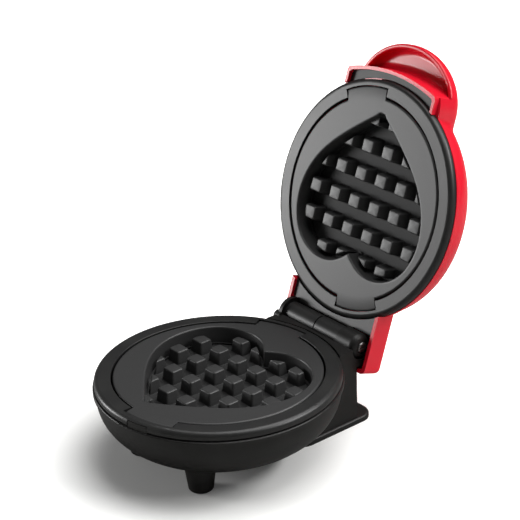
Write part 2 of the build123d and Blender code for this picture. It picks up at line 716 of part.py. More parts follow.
def lid_shell():
    """Glossy lid: dome, rim, handle, apron and hinge cover in one moulding."""
    rim = fillet(disc(LID_RIM_R, LID_RIM, DOME_BASE).edges().group_by(Axis.Z)[-1], 0.5)
    shell = dome_with_handle() + rim + hinge_cover() + lens_ring()
    shell += apron_prism(0, APRON_BOTTOM, HANDLE_TOP - HANDLE_ROUND)
    shell -= scoop()
    mouth = shell.edges().filter_by(lambda edge: is_scoop_mouth(edge @ 0.5))
    shell = fillet(mouth, SCOOP_EDGE)
    shell -= apron_hollow()
    shell -= cover_hollow()
    shell -= dish(LIP_INNER_R - 1.2, DOME_BASE, DOME_H - WALL, DOME_SQUARENESS, LID_SEAT)
    shell -= disc(LIP_INNER_R, 0, LID_SEAT + 0.01)
    shell -= disc(BODY_R + GAP, 0, LID_RIM)
    shell -= disc(NECK_R + 0.2, LID_RIM - 1, LID_SEAT)
    shell -= disc(LENS_R + 0.15, LID_SEAT, DOME_TOP + LENS_RING_H + 1, 0, LENS_Y)
    bevel_top = DOME_TOP + LENS_RING_H
    bevel = Pos(0, LENS_Y, bevel_top - LENS_BEVEL / 2) * Cone(LENS_R, LENS_R + 2 * LENS_BEVEL, LENS_BEVEL)
    shell -= Pos(0, 0, 0.01) * bevel
    return shell + flipped(rim_seat())


def lens():
    """Fluted indicator window, its ribs running front to back."""
    top = DOME_TOP + LENS_RING_H + LENS_RISE
    body = disc(LENS_R, lens_back(), top, 0, LENS_Y)
    body = fillet(body.edges().group_by(Axis.Z)[-1], 0.7)
    body += disc(LENS_R + 1.5, lens_back(), lens_back() + LENS_COLLAR_T, 0, LENS_Y)
    count = int(2 * (LENS_R - 2) / FLUTE_PITCH)
    for step in range(count + 1):
        x = (step - count / 2) * FLUTE_PITCH
        half = sqrt((LENS_R - 1.5) ** 2 - x**2)
        body -= Pos(x, LENS_Y, top + 0.25) * Rot(90, 0, 0) * Cylinder(FLUTE_R, 2 * half)
    return body


def lens_back():
    return DOME_TOP - WALL - LENS_COLLAR_DROP - LENS_COLLAR_T


def lamp_floor():
    """Upper face of the lamp bridge, one lamp's thickness under the window."""
    return lens_back() - 2 * LAMP_R - 0.1


def lamp_holder():
    """Bridge that carries the two lamps under the window, hung from the lid's ceiling."""
    low = lamp_floor() - HOLDER_T
    front = LENS_Y - HOLDER_HALF_W
    back = LENS_Y + HOLDER_HALF_W
    bridge = block(-HOLDER_HALF_L, HOLDER_HALF_L, front, back, low, lamp_floor())
    for side in (-1, 1):
        near = side * HOLDER_HALF_L
        far = side * (LENS_R + 2)
        bridge += block(min(near, far), max(near, far), front, back, low, DOME_TOP - WALL - 0.7)
    return bridge


def lamps():
    bulbs = []
    level = lamp_floor() + LAMP_R
    for side in (-1, 1):
        bulb = back_rod(LAMP_R, LENS_Y - LAMP_L / 2, LENS_Y + LAMP_L / 2, side * LAMP_X, level)
        bulbs.append(fillet(bulb.edges(), 0.7))
    return bulbs[0] + bulbs[1]


def lid_lead(side):
    """Core from a lamp over the reflector's edge to one end of the lid's heater."""
    x, y = terminal_places()[1 if side > 0 else 0]
    level = 2 * PARTING - BOSS_BOTTOM + TUBE_R
    start = (side * LAMP_X, LENS_Y + LAMP_L / 2 + 0.1, lamp_floor() + LAMP_R)
    over = (side * 9.0, 41.0, lamp_floor() + LAMP_R - 0.9)
    turn = (side * 13.0, 49.5, 63.4)
    end = (x, y + TERMINAL_L + TERMINAL_CAP_L + 0.1, level)
    return core((start, over, turn, end), (0, 1, 0), (0, -1, 0))


base_pieces = {
    "base_housing": base_housing(),
    "rear_tower": rear_tower(),
    "base_ring": bezel_ring(),
    "lower_plate": cooking_plate(),
    "lower_element": element(),
    "lower_terminals": terminals(),
    "lower_reflector": reflector(),
    "lower_screws": post_screws(),
    "lower_thermostat": thermostat(),
    "lower_fuse": thermal_fuse(),
    "front_foot_left": front_foot(-1),
    "front_foot_right": front_foot(1),
    "stand_plate": stand_plate(),
    "stand_screws": stand_screws(),
    "tower_back": tower_back(),
    "cord_gland": cord_gland(),
    "hinge_pin": hinge_pin(),
    "supply_lead_left": supply_lead(-1),
    "supply_lead_right": supply_lead(1),
}

lid_pieces = {
    "lid_shell": lid_shell(),
    "lid_ring": flipped(bezel_ring()),
    "upper_plate": flipped(cooking_plate()),
    "upper_element": flipped(element()),
    "upper_terminals": flipped(terminals()),
    "upper_reflector": flipped(reflector()),
    "upper_screws": flipped(post_screws()),
    "upper_fuse": flipped(thermal_fuse()),
    "hinge_bracket": hinge_bracket(),
    "apron_liner": apron_liner(),
    "lens": lens(),
    "lamp_holder": lamp_holder(),
    "lamps": lamps(),
    "lid_lead_left": lid_lead(-1),
    "lid_lead_right": lid_lead(1),
}

pieces = dict(base_pieces)
for name, piece in lid_pieces.items():
    pieces[name] = opened(piece)

boxes = [piece.bounding_box() for piece in pieces.values()]
middle_x = (min(box.min.X for box in boxes) + max(box.max.X for box in boxes)) / 2
middle_y = (min(box.min.Y for box in boxes) + max(box.max.Y for box in boxes)) / 2
print("origin moved by", round(-middle_x, 4), round(-middle_y, 4))

os.makedirs("parts", exist_ok=True)
for name, piece in pieces.items():
    export_step(Pos(-middle_x, -middle_y, 0) * piece, f"parts/{name}.step")
print(len(pieces), "pieces written")
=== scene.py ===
# %% [markdown]
# # A small waffle maker, dressed in Blender
#
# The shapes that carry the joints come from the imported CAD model. This notebook loads
# that model as a fixed frame, adds the pieces whose edges and grain CAD doesn't draw,
# and gives every surface the finish of the real material.

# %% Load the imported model
import json

import bpy
import numpy as np
from mathutils import Matrix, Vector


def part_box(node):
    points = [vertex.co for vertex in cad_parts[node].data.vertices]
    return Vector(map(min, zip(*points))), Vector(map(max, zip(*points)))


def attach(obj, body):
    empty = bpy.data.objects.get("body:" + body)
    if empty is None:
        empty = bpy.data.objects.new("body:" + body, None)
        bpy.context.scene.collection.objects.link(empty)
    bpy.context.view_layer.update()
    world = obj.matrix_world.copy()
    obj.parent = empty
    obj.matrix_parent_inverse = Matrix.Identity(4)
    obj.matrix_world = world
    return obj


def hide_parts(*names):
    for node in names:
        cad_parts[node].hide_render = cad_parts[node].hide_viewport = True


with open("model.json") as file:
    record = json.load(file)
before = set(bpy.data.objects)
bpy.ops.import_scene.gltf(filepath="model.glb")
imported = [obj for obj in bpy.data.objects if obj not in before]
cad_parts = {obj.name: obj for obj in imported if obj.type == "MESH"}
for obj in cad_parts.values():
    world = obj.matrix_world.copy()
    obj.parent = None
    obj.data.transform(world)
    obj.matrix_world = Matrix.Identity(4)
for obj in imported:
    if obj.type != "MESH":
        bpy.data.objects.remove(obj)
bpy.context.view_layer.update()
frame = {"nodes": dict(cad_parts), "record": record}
nodes = frame["nodes"]

# %% [markdown]
# ## Sizes that the new pieces share with the CAD
#
# Lengths are easier to read in millimetres, so each is written that way and multiplied by
# MM once. The upright line through the plates' middles isn't the frame's own: the origin
# is under the middle of the open appliance, so the line's place is read from the frame.
# The other lengths count from that line and from the table. The lugs are two stretches of
# the plate's edge, given in degrees from the front and from the back. Only PLATE_R isn't
# the CAD's: it is half a millimetre less, which shows the seam round the plate as it is.

# %% Sizes in millimetres
MM = 0.001
plate_low, plate_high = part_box("lower_plate")
AXIS_Y = (plate_low[1] + plate_high[1]) / 2 / MM
HINGE_Y = 72.6
HINGE_Z = 43.2
PARTING = 45.3
OPEN_ANGLE = 109.5
PLATE_TOP = 44.9
WELL_FLOOR = 34.9
BOSS_BOTTOM = 32.5
FLANGE_BOTTOM = 41.4
PLATE_R = 53.8
LUG_R = 59.3
LUG_FROM, LUG_TO = 0.5, 29.5
LUG_DROP = 0.3
BOSS_WALL = 2.4
BOSS_EDGE = 0.8
print("plate axis at", AXIS_Y, "hinge", HINGE_Y, HINGE_Z, "open by", OPEN_ANGLE)

# %% [markdown]
# ## From a plate drawn lying flat to its place
#
# Both plates are one casting, drawn once around the upright axis. The lower one only moves
# to the axis. The upper one is turned over and then swung back about the hinge, the same
# two turns that the CAD makes.


# %% Place a drawn piece in the frame
def in_base(points):
    """Millimetres around the plate axis, moved to the frame's origin, in metres."""
    return (points + (0, AXIS_Y, 0)) * MM


def in_lid(points):
    """Turned over about the front-to-back line at the parting height, then opened."""
    x, y, z = -points[:, 0], points[:, 1], 2 * PARTING - points[:, 2]
    angle = np.radians(-OPEN_ANGLE)
    out, up = y - HINGE_Y, z - HINGE_Z
    turned_y = HINGE_Y + out * np.cos(angle) - up * np.sin(angle)
    turned_z = HINGE_Z + out * np.sin(angle) + up * np.cos(angle)
    return in_base(np.column_stack([x, turned_y, turned_z]))


# %% [markdown]
# ## One way to make a mesh
#
# A surface is a grid of points: rows run along a section, columns run round an outline.
# The helper below joins neighbours into four-sided faces. Its first and last row may each
# be a single point, so a closed form has a pole at each end and no hole.


# %% Turn closed rings of points into faces
def ring_faces(rows, columns, start):
    """Faces of a grid whose columns close on themselves, with a pole before and after.

    The point in row r and column c has the number start + 1 + r times columns + c.
    """
    r = np.arange(rows - 1)[:, None]
    c = np.arange(columns)[None, :]
    after = (c + 1) % columns
    first = start + 1
    quads = np.stack(
        [first + r * columns + c, first + r * columns + after,
         first + (r + 1) * columns + after, first + (r + 1) * columns + c], axis=-1)
    last_row = first + (rows - 1) * columns
    c, after = c[0], after[0]
    top = np.column_stack([np.full(columns, start), first + after, first + c])
    end = np.full(columns, last_row + columns)
    bottom = np.column_stack([last_row + c, last_row + after, end])
    return quads.reshape(-1, 4).tolist() + top.tolist() + bottom.tolist()


SHARP_FROM = 35


def mesh_piece(name, points, faces):
    """A new object at the origin with these points, in metres, and these faces.

    It is shaded smooth, except at edges that turn by more than SHARP_FROM degrees.
    """
    mesh = bpy.data.meshes.new(name)
    mesh.from_pydata(points, [], faces)
    mesh.validate()
    piece = bpy.data.objects.new(name, mesh)
    bpy.context.scene.collection.objects.link(piece)
    mesh.shade_smooth()
    mesh.set_sharp_from_angle(angle=np.radians(SHARP_FROM))
    return piece


# %% [markdown]
# ## The heart outline
#
# The well's rim is a smooth line through eight places on its right side, mirrored to the
# left, with a small round tip. A cubic spline through the places gives the same line that
# the CAD has, here as many points as the edge needs.


# %% Points round the heart
HEART_SIDE = [
    (0, 31), (9, 37), (20, 38.9), (38.5, 30.7),
    (46.2, 12), (41.5, -8.5), (22, -30.5), (3, -45),
]
TIP_DEPTH = 1.4
SIDE_POINTS, TIP_POINTS = 240, 12


def natural_curve(places, count):
    """Cubic through the places: each second derivative balances its neighbours' slopes."""
    places = np.array(places, float)
    step = np.hypot(*np.diff(places, axis=0).T)
    knots = np.concatenate([[0], np.cumsum(step)])
    size = len(places)
    matrix, right = np.eye(size), np.zeros((size, 2))
    inner = np.arange(1, size - 1)
    matrix[inner, inner - 1] = step[:-1]
    matrix[inner, inner] = 2 * (step[:-1] + step[1:])
    matrix[inner, inner + 1] = step[1:]
    slope = np.diff(places, axis=0) / step[:, None]
    right[inner] = 6 * np.diff(slope, axis=0)
    bend = np.linalg.solve(matrix, right)
    along = np.linspace(0, knots[-1], count)
    part = np.clip(np.searchsorted(knots, along, side="right") - 1, 0, size - 2)
    width = step[part][:, None]
    before = (along - knots[part])[:, None]
    after = width - before
    return (
        (bend[part] * after**3 + bend[part + 1] * before**3) / (6 * width)
        + (places[part] / width - bend[part] * width / 6) * after
        + (places[part + 1] / width - bend[part + 1] * width / 6) * before
    )


def heart_outline():
    """Right side from the notch to the tip, half an ellipse, and the left side back up."""
    right = natural_curve(HEART_SIDE, SIDE_POINTS)
    turn = np.linspace(0, np.pi, TIP_POINTS + 2)[1:-1]
    end_x, end_y = right[-1]
    tip = np.column_stack([end_x * np.cos(turn), end_y - TIP_DEPTH * np.sin(turn)])
    left = right[:0:-1] * (-1, 1)
    return np.concatenate([right, tip, left])


heart = heart_outline()
print("heart points", len(heart), "across", np.ptp(heart, axis=0))

# %% [markdown]
# ## Moving the outline in and out
#
# The well's wall, its rounded rim and the boss underneath all run alongside the heart. Each
# is the same outline, moved along the lines that stand square to it. Near the notch two
# such lines cross, so a moved point stops at the middle line and never passes it.


# %% Push an outline inward
def inward(outline):
    """Unit normals that point into a closed outline, from the chords on either side."""
    ahead = np.roll(outline, -1, axis=0) - np.roll(outline, 1, axis=0)
    ahead /= np.linalg.norm(ahead, axis=1)[:, None]
    return np.column_stack([ahead[:, 1], -ahead[:, 0]])


heart_inward = inward(heart)


def pushed(push):
    """The outline moved along its normals, each half kept on its side of the middle line."""
    moved = heart + push * heart_inward
    on_right = heart[:, 0] >= 0
    x = moved[:, 0]
    moved[:, 0] = np.where(on_right, np.maximum(x, 0), np.minimum(x, 0))
    return moved


print("at the tip the inward way is", heart_inward[np.argmin(heart[:, 1])])

# %% [markdown]
# ## A cast cooking plate
#
# The real plate is cast aluminium: its well has a sloping wall, a rounded rim and a small
# fillet where the wall meets the floor. Sweeping one section round the heart gives all
# three at once. The section starts under the middle, runs out along the boss and flange,
# over the land, and down the wall to the middle of the floor. Each stop on it is a push
# inward from the heart, or a radius on the round edge, with a height.


# %% Sweep the plate's section round the heart
RIM_ROUND = 0.9
FLOOR_ROUND = 1.0
EDGE_ROUND = 1.0
LAND_OUTER, LAND_EDGE = 0.1, 1.5
LAND_INNER = 1.0
RIM_START = 0.4
WALL_SLOPE = 0.55
BOSS_MIDDLE, FLOOR_MIDDLE = 20, 6
ROUND_STEPS = 5
POLE_Y = -2


def quarter(radius):
    """Quarter circle from (0, 0), tangent to the flat, to (radius, -radius)."""
    turn = np.linspace(0, np.pi / 2, ROUND_STEPS)
    return radius * np.sin(turn), -radius * (1 - np.cos(turn))


def plate_rows():
    """Rows of points: each is the heart pushed in, or the round edge, set to a height."""
    angle = np.arctan2(heart[:, 1], heart[:, 0])
    from_lug = (np.degrees(angle) + 90) % 180
    lug = (from_lug > LUG_FROM) & (from_lug < LUG_TO)
    round_edge = np.column_stack([np.cos(angle), np.sin(angle)])
    rows = []

    def add_heart(push, height):
        rows.append(np.column_stack([pushed(push), np.full(len(heart), height)]))

    def add_round(radius, height):
        circle = round_edge * np.reshape(radius, (-1, 1))
        rows.append(np.column_stack([circle, np.broadcast_to(height, len(heart))]))

    edge_r = np.where(lug, LUG_R, PLATE_R)
    edge_z = np.where(lug, PLATE_TOP - LUG_DROP, PLATE_TOP)
    add_heart(BOSS_MIDDLE, BOSS_BOTTOM)
    add_heart(BOSS_EDGE - BOSS_WALL, BOSS_BOTTOM)
    add_heart(-BOSS_WALL, BOSS_BOTTOM + BOSS_EDGE)
    add_heart(-BOSS_WALL, FLANGE_BOTTOM)
    add_round(edge_r, FLANGE_BOTTOM)
    for push, drop in zip(*quarter(EDGE_ROUND)):
        add_round(edge_r + drop, edge_z - EDGE_ROUND + push)
    add_round(PLATE_R - EDGE_ROUND - LAND_OUTER, PLATE_TOP)
    add_round(PLATE_R - EDGE_ROUND - LAND_EDGE, PLATE_TOP)
    add_heart(-LAND_INNER, PLATE_TOP)
    for push, drop in zip(*quarter(RIM_ROUND)):
        add_heart(push - RIM_START, PLATE_TOP + drop)
    wall_foot = WELL_FLOOR + FLOOR_ROUND
    foot_push = RIM_ROUND - RIM_START + WALL_SLOPE
    add_heart(foot_push, wall_foot)
    for push, drop in zip(*quarter(FLOOR_ROUND)):
        add_heart(foot_push + FLOOR_ROUND + drop, wall_foot - push)
    add_heart(FLOOR_MIDDLE, WELL_FLOOR)
    return rows


def plate_mesh():
    """The swept rows with a pole under the middle and one on the well's floor."""
    rows = plate_rows()
    under, on_floor = [[0, POLE_Y, BOSS_BOTTOM]], [[0, POLE_Y, WELL_FLOOR]]
    points = np.concatenate([under, *rows, on_floor])
    return points, ring_faces(len(rows), len(heart), 0)


plate_points, plate_faces = plate_mesh()
print("plate points", len(plate_points), "faces", len(plate_faces))

# %% [markdown]
# ## The square studs
#
# The studs are cast with the plate, so their sides slope too and nothing on them is sharp.
# Those near the wall are cut short by the heart. Each is again a section swept round an
# outline: the outline is found by looking out from the stud's middle until the square or
# the heart's inner margin ends it.

# %% Which studs there are
STUD_TOP = (8.0, 7.0)
STUD_PITCH = 15.2
STUD_ROW_Y = 3.6
STUD_SPREAD = 0.74
STUD_MARGIN = 2.4
STUD_SIDES = 72
STUD_LEAST = 0.12
STUD_SUNK = 0.05


def inside_heart(points, margin):
    """True where a point lies inside the heart by the margin, from the nearest chord."""
    near = points[:, None, :] - heart[None, :, :]
    nearest = np.argmin((near**2).sum(-1), axis=1)
    gap = near[np.arange(len(points)), nearest]
    return (gap * heart_inward[nearest]).sum(-1) > margin


def stud_places():
    """Every place of the square grid, six columns and six rows."""
    column, row = np.meshgrid(np.arange(-3, 3), np.arange(-3, 3))
    x = (column.ravel() + 0.5) * STUD_PITCH
    y = STUD_ROW_Y + row.ravel() * STUD_PITCH
    return np.column_stack([x, y])


# %% How far a stud reaches each way
CORNER_POWER = 9
FARTHEST = 14.0
HALVINGS = 30
NO_CHORD = 99
OFF_CORNER = 0.01
way = np.linspace(0, 2 * np.pi, STUD_SIDES, endpoint=False) + OFF_CORNER
ahead = np.column_stack([np.cos(way), np.sin(way)])


def reach_in_square(middle, place, half):
    """Outward distance at which a soft-cornered square's ninth-power sum comes to one."""
    near, far = np.zeros(STUD_SIDES), np.full(STUD_SIDES, FARTHEST)
    for _ in range(HALVINGS):
        tried = (near + far) / 2
        out = (middle + tried[:, None] * ahead - place) / half
        inside = (np.abs(out) ** CORNER_POWER).sum(-1) < 1
        near, far = np.where(inside, tried, near), np.where(inside, far, tried)
    return near


def reach_in_heart(middle, margin):
    """Outward distance to the first chord of the heart pushed in by the margin."""
    start = pushed(margin)
    chord = np.roll(start, -1, axis=0) - start
    across = ahead[:, None, 0] * chord[None, :, 1] - ahead[:, None, 1] * chord[None, :, 0]
    gap = start[None] - middle
    far = (gap[..., 0] * chord[:, 1] - gap[..., 1] * chord[:, 0]) / across
    part = (gap[..., 0] * ahead[:, None, 1] - gap[..., 1] * ahead[:, None, 0]) / across
    meets = (far > 0) & (part >= 0) & (part <= 1)
    return np.where(meets, far, NO_CHORD).min(axis=1)


# %% Build every stud
STUD_SECTION = [
    (0.70, 0.0), (0.25, 0.15), (0.0, 0.7), (-0.64, 6.3),
    (-0.79, 6.7), (-1.04, 6.93), (-1.49, 7.0),
]
STUD_SAMPLES = 25


def stud_mesh(place, start):
    """One stud's points and faces, or nothing where the heart leaves too little of it."""
    across = np.linspace(-1, 1, STUD_SAMPLES)
    grid = np.stack(np.meshgrid(across, across), -1).reshape(-1, 2)
    square = place + grid * np.array(STUD_TOP) / 2
    kept = square[inside_heart(square, STUD_MARGIN)]
    if len(kept) < STUD_LEAST * len(square):
        return np.zeros((0, 3)), []
    middle = kept.mean(0)
    rows = []
    for grow, height in STUD_SECTION:
        half = np.array(STUD_TOP) / 2 + STUD_SPREAD + grow
        in_square = reach_in_square(middle, place, half)
        reach = np.minimum(in_square, reach_in_heart(middle, STUD_MARGIN - grow))
        edge = middle + reach[:, None] * ahead
        rows.append(np.column_stack([edge, np.full(STUD_SIDES, WELL_FLOOR + height)]))
    foot = [*middle, WELL_FLOOR - STUD_SUNK]
    top = [*middle, WELL_FLOOR + STUD_SECTION[-1][1]]
    return np.concatenate([[foot], *rows, [top]]), ring_faces(len(rows), STUD_SIDES, start)


def whole_plate():
    """The plate's points and faces followed by every stud's."""
    points, faces = [plate_points], list(plate_faces)
    count = len(plate_points)
    for place in stud_places():
        stud, stud_faces = stud_mesh(place, count)
        points.append(stud)
        faces += stud_faces
        count += len(stud)
    return np.concatenate(points), faces


cast_points, cast_faces = whole_plate()
print("casting", len(cast_points), "points", len(cast_faces), "faces")

# %% [markdown]
# ## Two castings from one drawing
#
# The appliance holds the same casting twice. Each copy takes the place of the CAD's plainer
# plate, and rides on the body that carries it, so the upper one closes with the lid.

# %% Put a casting in the base and one in the lid
lower_casting = mesh_piece("lower_casting", in_base(cast_points), cast_faces)
upper_casting = mesh_piece("upper_casting", in_lid(cast_points), cast_faces)
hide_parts("lower_plate")
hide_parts("upper_plate")
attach(lower_casting, "base")
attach(upper_casting, "lid")
print("castings", lower_casting.name, upper_casting.name)

# %% [markdown]
# ## How deep each point of a casting lies
#
# The finish paints shade low in the well: the deeper a point lies, the darker its colour.
# The depth below the plate's top, as a share of the well's, is kept on each point of the mesh,
# where the finish can read it.

# %% Store the depth
# Painted shade: the plates' finish darkens the colour by this depth.
depth = np.clip((PLATE_TOP - cast_points[:, 2]) / (PLATE_TOP - WELL_FLOOR), 0, 1)
for casting in (lower_casting, upper_casting):
    stored = casting.data.attributes.new("well_depth", "FLOAT", "POINT")
    stored.data.foreach_set("value", depth)
print("points at the floor or lower", int((depth == 1).sum()))

# %% [markdown]
# ## Materials: colour and node helpers
#
# Colours are written as the hex values that a screen shows. A shader works with light, so
# one function undoes the screen's curve. Another adds a node, sets what it is given and
# joins what is handed to it as another node's output.


# %% Hex colours and a node
def linear(hex_colour):
    """The sRGB curve undone: straight near black, a power of 2.4 above."""
    shown = np.array([int(hex_colour[i:i + 2], 16) / 255 for i in (1, 3, 5)])
    light = np.where(shown <= 0.04045, shown / 12.92, ((shown + 0.055) / 1.055) ** 2.4)
    return (*light.tolist(), 1.0)


def add(tree, kind, sockets=None, **settings):
    """A new node with its settings, and its sockets given values or joined to outputs."""
    node = tree.nodes.new(kind)
    for name, value in settings.items():
        setattr(node, name, value)
    for name, value in (sockets or {}).items():
        if isinstance(value, bpy.types.NodeSocket):
            tree.links.new(value, node.inputs[name])
        else:
            node.inputs[name].default_value = value
    return node


def new_finish(name, **values):
    """A material with one Principled shader, its sockets set to these values."""
    finish = bpy.data.materials.new(name)
    finish.use_nodes = True
    shader = finish.node_tree.nodes["Principled BSDF"]
    for socket, value in values.items():
        shader.inputs[socket.replace("_", " ")].default_value = value
    return finish, finish.node_tree, shader


print("a mid grey is, as light,", linear("#808080"))

# %% [markdown]
# ## Moulded and cast surfaces
#
# A spark-eroded mould leaves a fine even grain; a coated casting has a softer, larger
# orange peel. Both are noise on the piece's own coordinates, with the noise's size worked
# out from millimetres. The smallest real grain is under a tenth of a millimetre and would
# not show, so it is drawn a few times coarser.


# %% Grain helpers
def per_metre(size_mm):
    """How many patches of this size fit in a metre: one over the size in metres."""
    return 1 / (size_mm * MM)


def place_on(tree):
    """Each point's place on its own piece, in metres."""
    return add(tree, "ShaderNodeTexCoord").outputs["Object"]


def noise(tree, size_mm, detail=3.0):
    """Cloudy noise whose patches are about this many millimetres across."""
    return add(tree, "ShaderNodeTexNoise", {
        "Vector": place_on(tree), "Scale": per_metre(size_mm),
        "Detail": detail, "Roughness": 0.55}).outputs["Fac"]


def two_tones(tree, shader, driver, dark, light, low=0.35, high=0.65):
    """Base colour between two hex tones, following the driver."""
    ramp = add(tree, "ShaderNodeValToRGB", {"Fac": driver})
    ramp.color_ramp.elements[0].position = low
    ramp.color_ramp.elements[1].position = high
    ramp.color_ramp.elements[0].color = linear(dark)
    ramp.color_ramp.elements[1].color = linear(light)
    tree.links.new(ramp.outputs["Color"], shader.inputs["Base Color"])


def vary(tree, shader, socket, driver, low, high):
    """A socket that follows the driver between two values."""
    spread = add(tree, "ShaderNodeMapRange", {"Value": driver, "To Min": low, "To Max": high})
    tree.links.new(spread.outputs["Result"], shader.inputs[socket])


def bumps(tree, shader, heights):
    """Bump nodes in a row: each adds its own pattern of this height in millimetres."""
    normal = None
    for pattern, height_mm in heights:
        sockets = {"Height": pattern, "Distance": height_mm * MM, "Strength": 1.0}
        if normal is not None:
            sockets["Normal"] = normal
        normal = add(tree, "ShaderNodeBump", sockets).outputs["Normal"]
    tree.links.new(normal, shader.inputs["Normal"])


finishes = {}
print("a 1 mm grain has scale", per_metre(1))

# %% [markdown]
# ### Black housings
#
# The bowl, the tower and the feet are moulded in glass-filled polypropylene. The mould was
# spark-eroded, so the plastic has one broad dull sheen. The grain is too fine to model as
# shape, so it is a bump, and the roughness wanders a little as if the grain were worn.


# %% Black housings: glass-filled polypropylene with a fine spark-eroded grain
def housing_polypropylene():
    """Dull black with a soft broad sheen, a little lighter where the grain is rubbed."""
    finish, tree, shader = new_finish("housing_polypropylene", Roughness=0.46, IOR=1.43)
    wear = noise(tree, 18)
    two_tones(tree, shader, wear, "#151413", "#1b1a19")
    vary(tree, shader, "Roughness", wear, 0.42, 0.50)
    bumps(tree, shader, [(noise(tree, 0.45, 2), 0.012)])
    return finish


finishes["housing_plastic"] = housing_polypropylene()
finishes["foot_rubber"] = housing_polypropylene()
print("housings and feet", finishes["housing_plastic"].name)

# %% [markdown]
# ### Bezel rings and hinge
#
# The rings sit against hot plates and the hinge rubs, so both are filled nylon, which takes
# heat and wear. It comes from a smoother part of the mould: its sheen is narrower than the
# housing's, and its black is a touch lighter.


# %% Bezel rings and hinge: filled nylon
def bezel_nylon():
    """Black with a tighter sheen than the housing, from a polished part of the mould."""
    finish, tree, shader = new_finish("bezel_nylon", Roughness=0.40, IOR=1.46)
    cloud = noise(tree, 25)
    two_tones(tree, shader, cloud, "#1d1d1d", "#242423")
    vary(tree, shader, "Roughness", cloud, 0.36, 0.44)
    bumps(tree, shader, [(noise(tree, 0.8, 2), 0.006)])
    return finish


finishes["bezel_plastic"] = bezel_nylon()
print("rings and hinge", finishes["bezel_plastic"].name)

# %% [markdown]
# ### Cooking plates
#
# A sprayed fluoropolymer coat on cast aluminium is dark grey and satin, with a faint orange
# peel. Shade is painted into the channels: the colour darkens low in the well, and the
# roughness rises there too. The stored depth drives that, with a fine fleck added, and one
# ramp turns their sum into colour.


# %% Cooking plates: cast aluminium under a sprayed fluoropolymer coat
def coated_casting():
    """Dark grey and satin, with painted shade and a duller surface low in the well's channels.
    """
    finish, tree, shader = new_finish("coated_casting", Roughness=0.45, IOR=1.45)
    fleck = add(tree, "ShaderNodeMapRange", {
        "Value": noise(tree, 0.35, 1), "To Min": 0.0, "To Max": 0.35}).outputs["Result"]
    low = add(tree, "ShaderNodeAttribute", attribute_name="well_depth").outputs["Fac"]
    # Painted shade: this value darkens the colour towards the well's floor and also raises the
    # roughness.
    well_shade_and_dullness = add(tree, "ShaderNodeMapRange", {
        "Value": low, "From Min": 0.55, "From Max": 1.0}).outputs["Result"]
    shade = add(tree, "ShaderNodeMath", {0: fleck, 1: well_shade_and_dullness}, operation="ADD").outputs[0]
    two_tones(tree, shader, shade, "#343434", "#1e1e1e", 0.0, 1.0)
    vary(tree, shader, "Roughness", well_shade_and_dullness, 0.42, 0.66)
    bumps(tree, shader, [(noise(tree, 1.1, 2), 0.010), (noise(tree, 0.3, 2), 0.004)])
    return finish


finishes["nonstick"] = coated_casting()
print("plates", finishes["nonstick"].name)

# %% [markdown]
# ### The red lid
#
# The lid is ABS from a polished mould: the colour is in the plastic and the gloss is its
# own skin. A thin coat layer sharpens the reflections, and bumps several millimetres wide
# give the slow waviness of a thin moulded wall.


# %% Lid: glossy red ABS from a polished mould
def lid_abs():
    """Deep red with a clear sharp gloss and the faint waviness of a thin moulded wall."""
    finish, tree, shader = new_finish(
        "lid_abs", Roughness=0.26, IOR=1.46, Coat_Weight=0.06, Coat_Roughness=0.08)
    two_tones(tree, shader, noise(tree, 40), "#cf1228", "#d8142b")
    bumps(tree, shader, [(noise(tree, 9, 1), 0.010)])
    return finish


finishes["lid_gloss"] = lid_abs()
print("lid", finishes["lid_gloss"].name)

# %% [markdown]
# ### The indicator window
#
# The window is a disc of blue polycarbonate with flutes, which the CAD already has. Only a
# share of its light is let through, because the pigment scatters the rest.


# %% Window: tinted polycarbonate
def tinted_polycarbonate():
    """Blue-green and half clear, so that what stands behind it shows only faintly."""
    finish, tree, shader = new_finish(
        "tinted_polycarbonate", Base_Color=linear("#1f7fa6"),
        Roughness=0.12, IOR=1.58, Transmission_Weight=0.55)
    vary(tree, shader, "Roughness", noise(tree, 3), 0.10, 0.16)
    return finish


finishes["window"] = tinted_polycarbonate()
print("window", finishes["window"].name)

# %% [markdown]
# ### Metals
#
# The pin and screws are plated steel, the heaters nickel alloy tube and the reflectors
# coated sheet. All are fully metallic, and differ in colour, in roughness and in the size
# of what mottles them. Most of them show only when the appliance is taken apart.


# %% Metals of the pin, screws, heaters and reflectors
def turned_steel():
    """Zinc-plated steel: bright, with a fine uneven grain left by turning and plating."""
    finish, tree, shader = new_finish(
        "turned_steel", Base_Color=linear("#8f8f8e"), Metallic=1.0, Roughness=0.34)
    vary(tree, shader, "Roughness", noise(tree, 0.6), 0.28, 0.40)
    bumps(tree, shader, [(noise(tree, 0.25, 1), 0.004)])
    return finish


def heater_sheath():
    """Nickel alloy tube that has gone dull and straw-coloured with heat."""
    finish, tree, shader = new_finish("heater_sheath", Metallic=1.0, Roughness=0.5)
    two_tones(tree, shader, noise(tree, 6), "#6f6a62", "#8b8579")
    bumps(tree, shader, [(noise(tree, 0.4, 2), 0.01)])
    return finish


def aluminised_steel():
    """Rolled sheet with a mottled bright coat."""
    finish, tree, shader = new_finish("aluminised_steel", Metallic=1.0, Roughness=0.38)
    two_tones(tree, shader, noise(tree, 4), "#a9a9a7", "#bdbdbb")
    bumps(tree, shader, [(noise(tree, 2, 2), 0.01)])
    return finish


finishes["pin_steel"] = turned_steel()
finishes["screw_steel"] = turned_steel()
finishes["heater_tube"] = heater_sheath()
finishes["reflector_steel"] = aluminised_steel()
print("metals", [finishes[slot].name for slot in list(finishes)[-4:]])

# %% [markdown]
# ### Ceramic, glass, sleeves and rubber
#
# These are the small pieces inside and the cord's bush. Steatite and rubber are dull, the
# thermostat's phenolic body has a soft shine, and the lamps are clear glass.


